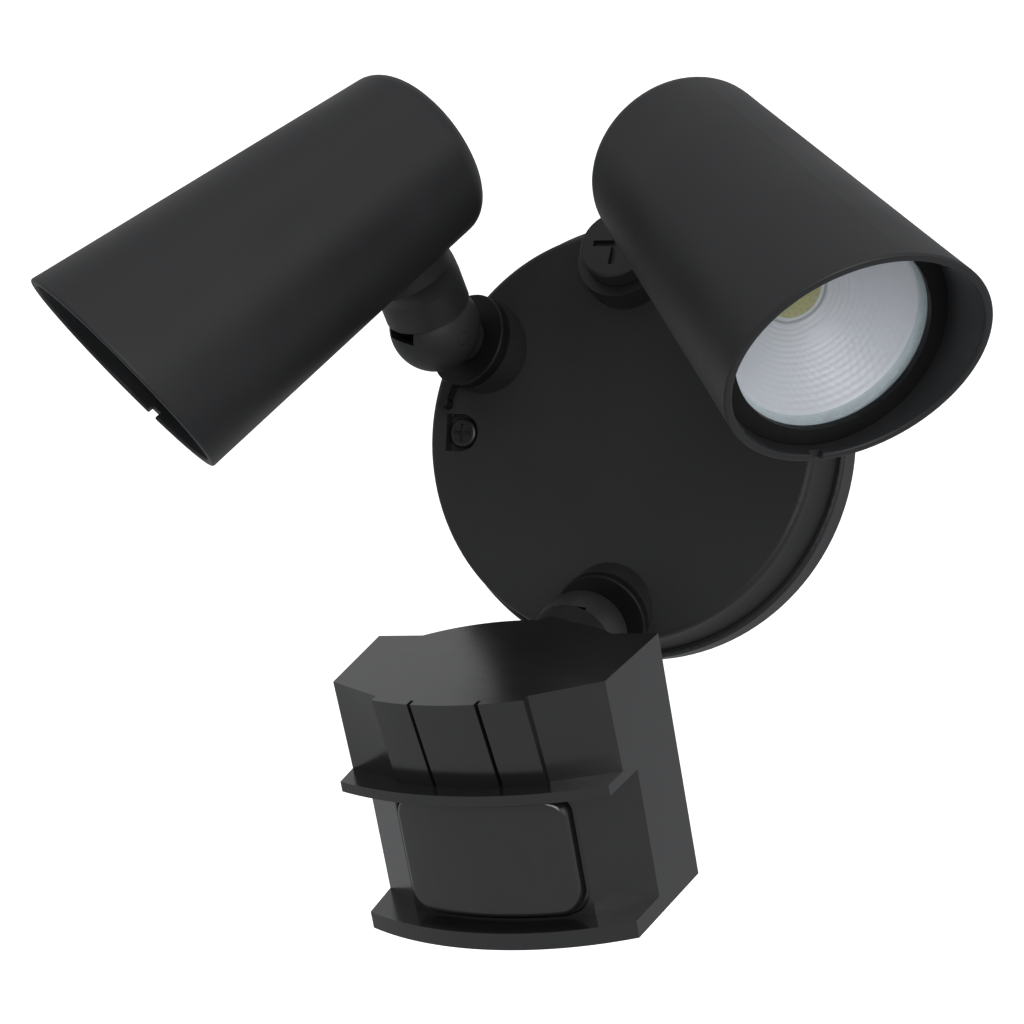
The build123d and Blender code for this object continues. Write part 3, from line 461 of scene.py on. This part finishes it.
# Lens: a tempered glass disc with ground edges, on a pale silicone gasket. Its pale blue tint is
# partly the glass and partly painted reflection of bluish light. Towards its edge the glass turns
# pale green, and a frosted band hides the gasket.
LENS_ROWS = 10
LENS_COLUMNS = 128
LENS_CROWN = 0.0003
LENS_GROUND = 0.0004
FROST_START = 0.0027
FROST_END = 0.0019
# Pale blue glass tint: partly the glass's own colour, partly painted reflection of bluish light.
GLASS_TINT_AND_REFLECTION = (0.72, 0.86, 0.97)
FROST_SHADE = (0.72, 0.84, 0.87)
GLASS_COVER = 0.1
FROST_COVER = 0.4
SMEAR_SCALE = 70.0
SMEAR_DETAIL = 4.0
GLASS_GLOSS = (0.05, 0.14)
lens_silicone = skin(
    "lens_silicone",
    shade=(0.68, 0.76, 0.78),
    contrast=0.05,
    gloss=(0.4, 0.52),
    grains=((1200.0, 0.00001),),
)
dress(lens_silicone, "left_lens_gasket", "right_lens_gasket")
lens_glass, nodes, link, shader, coordinates = new_finish("lens_glass")
frost = nodes.new("ShaderNodeAttribute")
frost.attribute_name = "frost"
band_shade = tint(nodes, link, frost.outputs["Fac"], GLASS_TINT_AND_REFLECTION, FROST_SHADE, start=0.0, end=1.0)
link(band_shade, shader.inputs["Base Color"])
band_cover = spread(nodes, link, frost.outputs["Fac"], GLASS_COVER, FROST_COVER, start=0.0, end=1.0)
link(band_cover, shader.inputs["Alpha"])
smear = noise(nodes, link, coordinates, SMEAR_SCALE, SMEAR_DETAIL)
link(spread(nodes, link, smear, *GLASS_GLOSS), shader.inputs["Roughness"])


def glass_disc(arm):
    """Disc whose front falls from its middle by the crown times the square of its share of the radius.

    Two ground corners and a flat back close it. The frost attribute is 0 inside and 1 at the edge, and goes
    in a straight line between the two distances from the edge at which the band starts and ends.
    """
    lamp = lamp_frame(arm)
    glass_radius, glass_back, glass_front = reach(lamp, arm + "_lens")[1:]
    out = np.linspace(0, 1, LENS_ROWS) * (glass_radius - LENS_GROUND)
    crown = glass_front - LENS_CROWN * (out / glass_radius) ** 2
    edge_radius = [glass_radius, glass_radius, glass_radius - LENS_GROUND]
    edge_height = [glass_front - LENS_CROWN - LENS_GROUND, glass_back + LENS_GROUND, glass_back]
    disc_radius = np.concatenate([out, edge_radius, out[::-1][1:]])
    disc_height = np.concatenate([crown, edge_height, np.full(LENS_ROWS - 1, glass_back)])
    glass = turned_surface(
        arm + "_glass_disc",
        lamp,
        all_round(disc_radius, LENS_COLUMNS),
        all_round(disc_height, LENS_COLUMNS),
        ring=False,
    )
    corner = np.empty(3 * len(glass.data.vertices), np.float32)
    glass.data.vertices.foreach_get("co", corner)
    from_beam = np.linalg.norm(np.cross(corner.reshape(-1, 3) - lamp[0], lamp[3]), axis=1)
    inside = glass_radius - from_beam
    band = np.clip((FROST_START - inside) / (FROST_START - FROST_END), 0, 1).astype(np.float32)
    glass.data.attributes.new("frost", "FLOAT", "POINT").data.foreach_set("value", band)
    return glass


for arm in ("left", "right"):
    install(glass_disc(arm), lens_glass, arm, "lens")

# Lens bezel: a ring moulded in black nylon. It is pressed into the hood, and its lip lies over the
# edge of the lens.
dress(black_moulding, "left_lens_bezel", "right_lens_bezel")

# Sensor case: injection moulded in charcoal ABS from a polished tool, so it shines. Wiping has left
# faint drawn-out marks in the shine, and the walls sink very slightly where the plastic shrank.
CASE_DARK = (0.0105, 0.0107, 0.0114)
CASE_LIGHT = (0.0125, 0.0127, 0.0135)
CASE_GLOSS = (0.19, 0.23)
CASE_GRAIN = (3400.0, 0.000002)
CASE_SINK = 0.000012
SENSOR_SHINE = 0.8
WIPE_SCALE = 90.0
WIPE_DETAIL = 4.0
WIPE_STRETCH = (1.0, 1.0, 9.0)
sensor_moulding, nodes, link, shader, coordinates = new_finish("sensor_moulding")
cloud = noise(nodes, link, coordinates, CLOUD_SCALE)
link(tint(nodes, link, cloud, CASE_DARK, CASE_LIGHT), shader.inputs["Base Color"])
shader.inputs["Specular IOR Level"].default_value = SENSOR_SHINE
wipe = noise(nodes, link, coordinates, WIPE_SCALE, WIPE_DETAIL, WIPE_STRETCH)
link(spread(nodes, link, wipe, *CASE_GLOSS), shader.inputs["Roughness"])
relief(nodes, link, shader, noise(nodes, link, coordinates, CASE_GRAIN[0], GRAIN_DETAIL), CASE_GRAIN[1])
relief(nodes, link, shader, cloud, CASE_SINK)
dress(sensor_moulding, "sensor_housing")

# Sensor window: a thin dark moulding that lets heat through, glossy outside, with a rolled edge and a
# flange that sits in the case's opening. Its inner face carries a lens pattern that shows only as
# faint upright ripples.
WINDOW_FLANGE = 0.0011
WINDOW_FLANGE_SETBACK = 0.0026
WINDOW_FLANGE_THICKNESS = 0.0009
WINDOW_WALL = 0.0014
WINDOW_CORNER = 0.005
WINDOW_CURVE = 0.0684
WINDOW_ROLL = 0.0012
WINDOW_PROUD = 0.0012
WINDOW_DARK = (0.0125, 0.0125, 0.013)
WINDOW_LIGHT = (0.0142, 0.0143, 0.0151)
WINDOW_GLOSS = (0.15, 0.22)
HAZE_SCALE = 120.0
HAZE_DETAIL = 4.0
RIPPLE_SCALE = 260.0
RIPPLE_DETAIL = 2.0
RIPPLE_STRETCH = (1.0, 1.0, 0.08)
RIPPLE_DEPTH = 0.00001
ROLL_ROWS = 9
FACE_ROWS = 14
CORNER_COLUMNS = 12
EDGE_COLUMNS = 28
sensor_window, nodes, link, shader, coordinates = new_finish("sensor_window")
ripple = noise(nodes, link, coordinates, RIPPLE_SCALE, RIPPLE_DETAIL, RIPPLE_STRETCH)
link(tint(nodes, link, ripple, WINDOW_DARK, WINDOW_LIGHT), shader.inputs["Base Color"])
shader.inputs["Specular IOR Level"].default_value = SENSOR_SHINE
haze = noise(nodes, link, coordinates, HAZE_SCALE, HAZE_DETAIL)
link(spread(nodes, link, haze, *WINDOW_GLOSS), shader.inputs["Roughness"])
relief(nodes, link, shader, ripple, RIPPLE_DEPTH)


def sensor_frame():
    """Centre of the sensor's board and the directions right, forward and down, along the board's edges."""
    corners = node_points("sensor_board")
    centre = corners.mean(axis=0)
    edges = np.linalg.svd(corners - centre, full_matrices=False)[2]
    wide, tall = sorted(edges[:2], key=lambda edge: -abs(edge[0]))
    forward = edges[2]
    return centre, wide * np.sign(wide[0]), forward * -np.sign(forward[1]), tall * -np.sign(tall[2])


def window_shell():
    """Rounded window, from rows that each follow its outline at an inset and an offset from its front.

    The outline is a rectangle with round corners: a core point, plus the corner radius times a direction.
    An inset draws both in. The front is a circular bow across the width, and the rolled edge falls back by
    a quarter circle. Rows run from the middle of the face over the edge and the flange to the middle of
    the back.
    """
    centre, right, forward, down = sensor_frame()
    place = (node_points("sensor_lens") - centre) @ np.stack([right, forward, down], axis=1)
    low, high = place.min(axis=0), place.max(axis=0)
    half_width = (high[0] - low[0]) / 2 - WINDOW_FLANGE
    half_height = (high[2] - low[2]) / 2 - WINDOW_FLANGE
    face = np.linspace(half_height, WINDOW_ROLL, FACE_ROWS)
    roll = np.linspace(WINDOW_ROLL, 0, ROLL_ROWS)[1:]
    flange_front = -WINDOW_FLANGE_SETBACK
    flange_back = flange_front - WINDOW_FLANGE_THICKNESS
    rolled = np.sqrt(WINDOW_ROLL**2 - (WINDOW_ROLL - roll) ** 2) - WINDOW_ROLL
    back = np.linspace(WINDOW_WALL, half_height, FACE_ROWS)
    turn_in = [0, -WINDOW_FLANGE, -WINDOW_FLANGE, WINDOW_WALL]
    turn_depth = [flange_front, flange_front, flange_back, flange_back]
    inset = np.concatenate([face, roll, turn_in, back])[:, None]
    front = [WINDOW_PROUD + 0 * face, WINDOW_PROUD + rolled]
    offset = np.concatenate([*front, turn_depth, 0 * back + WINDOW_PROUD - WINDOW_WALL])[:, None]
    bend = np.linspace(0, np.pi / 2, CORNER_COLUMNS)
    sine = np.sin(bend)
    cosine = np.cos(bend)
    post = np.ones_like(bend)
    edge = np.linspace(1, -1, EDGE_COLUMNS)[1:-1]
    flat = np.ones_like(edge)
    core_x = np.concatenate([post, edge, -post, -flat, -post, -edge, post, flat])
    core_z = np.concatenate([post, flat, post, edge, -post, -flat, -post, -edge])
    corner_x = np.concatenate([cosine, 0 * flat, -sine, -flat, -cosine, 0 * flat, sine, flat])
    corner_z = np.concatenate([sine, flat, cosine, 0 * flat, -sine, -flat, -cosine, 0 * flat])
    corner = np.maximum(WINDOW_CORNER - inset, 0)
    across = core_x * (half_width - inset - corner) + corner_x * corner
    along = core_z * (half_height - inset - corner) + corner_z * corner
    depth = high[1] + offset - (WINDOW_CURVE - np.sqrt(WINDOW_CURVE**2 - across**2))
    across = across + (low[0] + high[0]) / 2
    along = along + (low[2] + high[2]) / 2
    points = centre + across[..., None] * right + depth[..., None] * forward + along[..., None] * down
    return closed_mesh("window_pod", points, ring=False)


pod = window_shell()
pod.data.materials.append(sensor_window)
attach(pod, "sensor_head")
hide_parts("sensor_lens")

# Sensor rear cover: moulded in the case's plastic, set in the back of the case on a rubber frame and
# held by four black screws. The cap of the sensor's knuckle is fixed to its neck.
dress(sensor_moulding, "sensor_rear_cover")
dress(seal_rubber, "sensor_cover_seal")
dress(black_screw, "sensor_cover_screws")

# Sensor board: green glass epoxy behind the window. It carries the motion element in its steel can,
# and two trimmers in natural nylon that the dials turn.
green_board = skin(
    "green_board",
    shade=(0.012, 0.085, 0.034),
    contrast=0.2,
    gloss=(0.3, 0.42),
    grains=((1600.0, 0.00001),),
)
dress(green_board, "sensor_board")
dress(bright_steel, "pyro_element")
dress(terminal_plastic, "trimmer_pots")

# Dials for time and range: they sit in the underside of the sensor and are turned with a screwdriver.
# Each is moulded in grey nylon with a slot across it.
dial_plastic = skin(
    "dial_plastic",
    shade=(0.075, 0.075, 0.078),
    contrast=0.1,
    gloss=(0.42, 0.52),
    grains=((3000.0, 0.00001),),
)
dress(dial_plastic, "time_dial", "range_dial")

# Stage: a round pale floor, well below the light, that sweeps up into a plain wall all round. It glows
# white for the camera, and the object's own surfaces don't see it.
FLOOR_DROP = 0.05
SWEEP_START = 2.2
SWEEP_RADIUS = 1.0
WALL_TOP = 4.0
SWEEP_ROWS = 24
STAGE_COLUMNS = 96
BACKDROP_GLOW = 0.95
sweep = np.linspace(0, math.pi / 2, SWEEP_ROWS)
wall_radius = SWEEP_START + SWEEP_RADIUS
stage_radius = np.concatenate([[0], SWEEP_START + SWEEP_RADIUS * np.sin(sweep), [wall_radius]])
stage_height = np.concatenate([[0], SWEEP_RADIUS * (1 - np.cos(sweep)), [WALL_TOP]])
floor_centre = np.array((0.0, 0.0, cad_low.z - FLOOR_DROP))
backdrop = turned_surface(
    "backdrop",
    (floor_centre, *np.eye(3)),
    all_round(stage_radius, STAGE_COLUMNS),
    all_round(stage_height, STAGE_COLUMNS),
    ring=False,
)
backdrop.visible_diffuse = False
backdrop.visible_glossy = False
backdrop_paint = skin(
    "backdrop_paint",
    shade=(0.8, 0.8, 0.8),
    contrast=0.005,
    gloss=(0.85, 0.9),
    grains=((20.0, 0.0001),),
)
backdrop_shader = backdrop_paint.node_tree.nodes["Principled BSDF"]
backdrop_shader.inputs["Emission Color"].default_value = (1, 1, 1, 1)
backdrop_shader.inputs["Emission Strength"].default_value = BACKDROP_GLOW
backdrop.data.materials.append(backdrop_paint)

# Light: a dim pale room and four large soft boxes, overhead, to the right, in front and, faintly,
# behind. Each box has its place from the object's middle and its width and height in metres, and its
# power in watts.
ROOM_SHADE = (0.97, 0.98, 1.0, 1)
ROOM_LEVEL = 0.43
SOFT_BOXES = {
    "top_box": ((0.1, -0.5, 1.1), (1.0, 0.8), 1.1),
    "right_box": ((1.2, -0.1, 0.3), (0.9, 1.1), 1.7),
    "front_box": ((1.0, -1.6, 0.1), (1.3, 1.3), 20.0),
    "back_box": ((-0.54, 0.85, 0.82), (0.8, 0.8), 0.22),
}
world = bpy.data.worlds.new("studio")
bpy.context.scene.world = world
world.use_nodes = True
room = world.node_tree.nodes["Background"]
room.inputs["Color"].default_value = ROOM_SHADE
room.inputs["Strength"].default_value = ROOM_LEVEL


def soft_box(name, place, target, size, power):
    """Area light at a place, aimed at a target.

    It turns about X by the angle between the aim and straight down, and then about Z to the aim's bearing.
    """
    light = bpy.data.lights.new(name, "AREA")
    light.shape = "RECTANGLE"
    light.size, light.size_y = size
    light.energy = power
    box = bpy.data.objects.new(name, light)
    bpy.context.scene.collection.objects.link(box)
    box.location = place
    aim = target - place
    box.rotation_euler = (math.atan2(math.hypot(aim[0], aim[1]), -aim[2]), 0, math.atan2(-aim[0], aim[1]))


middle = (np.array(cad_low) + np.array(cad_high)) / 2
for name, (offset, size, power) in SOFT_BOXES.items():
    soft_box(name, middle + np.array(offset), middle, size, power)

# Camera: the photograph's viewpoint, a little to the right of the object and below its middle. It has
# a long lens, and it is rolled slightly.
CAMERA_PLACE = (0.295214, -0.730593, -0.054072)
CAMERA_YAW = math.radians(24.53)
CAMERA_PITCH = math.radians(2.47)
CAMERA_ROLL = math.radians(2.947)
CAMERA_LENS = 105.47
CAMERA_GATE = 36.0
ahead = np.array((
    -math.sin(CAMERA_YAW) * math.cos(CAMERA_PITCH),
    math.cos(CAMERA_YAW) * math.cos(CAMERA_PITCH),
    math.sin(CAMERA_PITCH),
))
level = np.array((math.cos(CAMERA_YAW), math.sin(CAMERA_YAW), 0.0))
upright = np.cross(level, ahead)
right = math.cos(CAMERA_ROLL) * level + math.sin(CAMERA_ROLL) * upright
up = math.cos(CAMERA_ROLL) * upright - math.sin(CAMERA_ROLL) * level
camera_data = bpy.data.cameras.new("camera")
camera_data.lens = CAMERA_LENS
camera_data.sensor_width = CAMERA_GATE
camera = bpy.data.objects.new("camera", camera_data)
bpy.context.scene.collection.objects.link(camera)
pose = np.eye(4)
pose[:3] = np.stack([right, up, -ahead, CAMERA_PLACE], axis=1)
camera.matrix_world = pose.T.tolist()
bpy.context.scene.camera = camera
bpy.context.scene.view_settings.view_transform = "Standard"
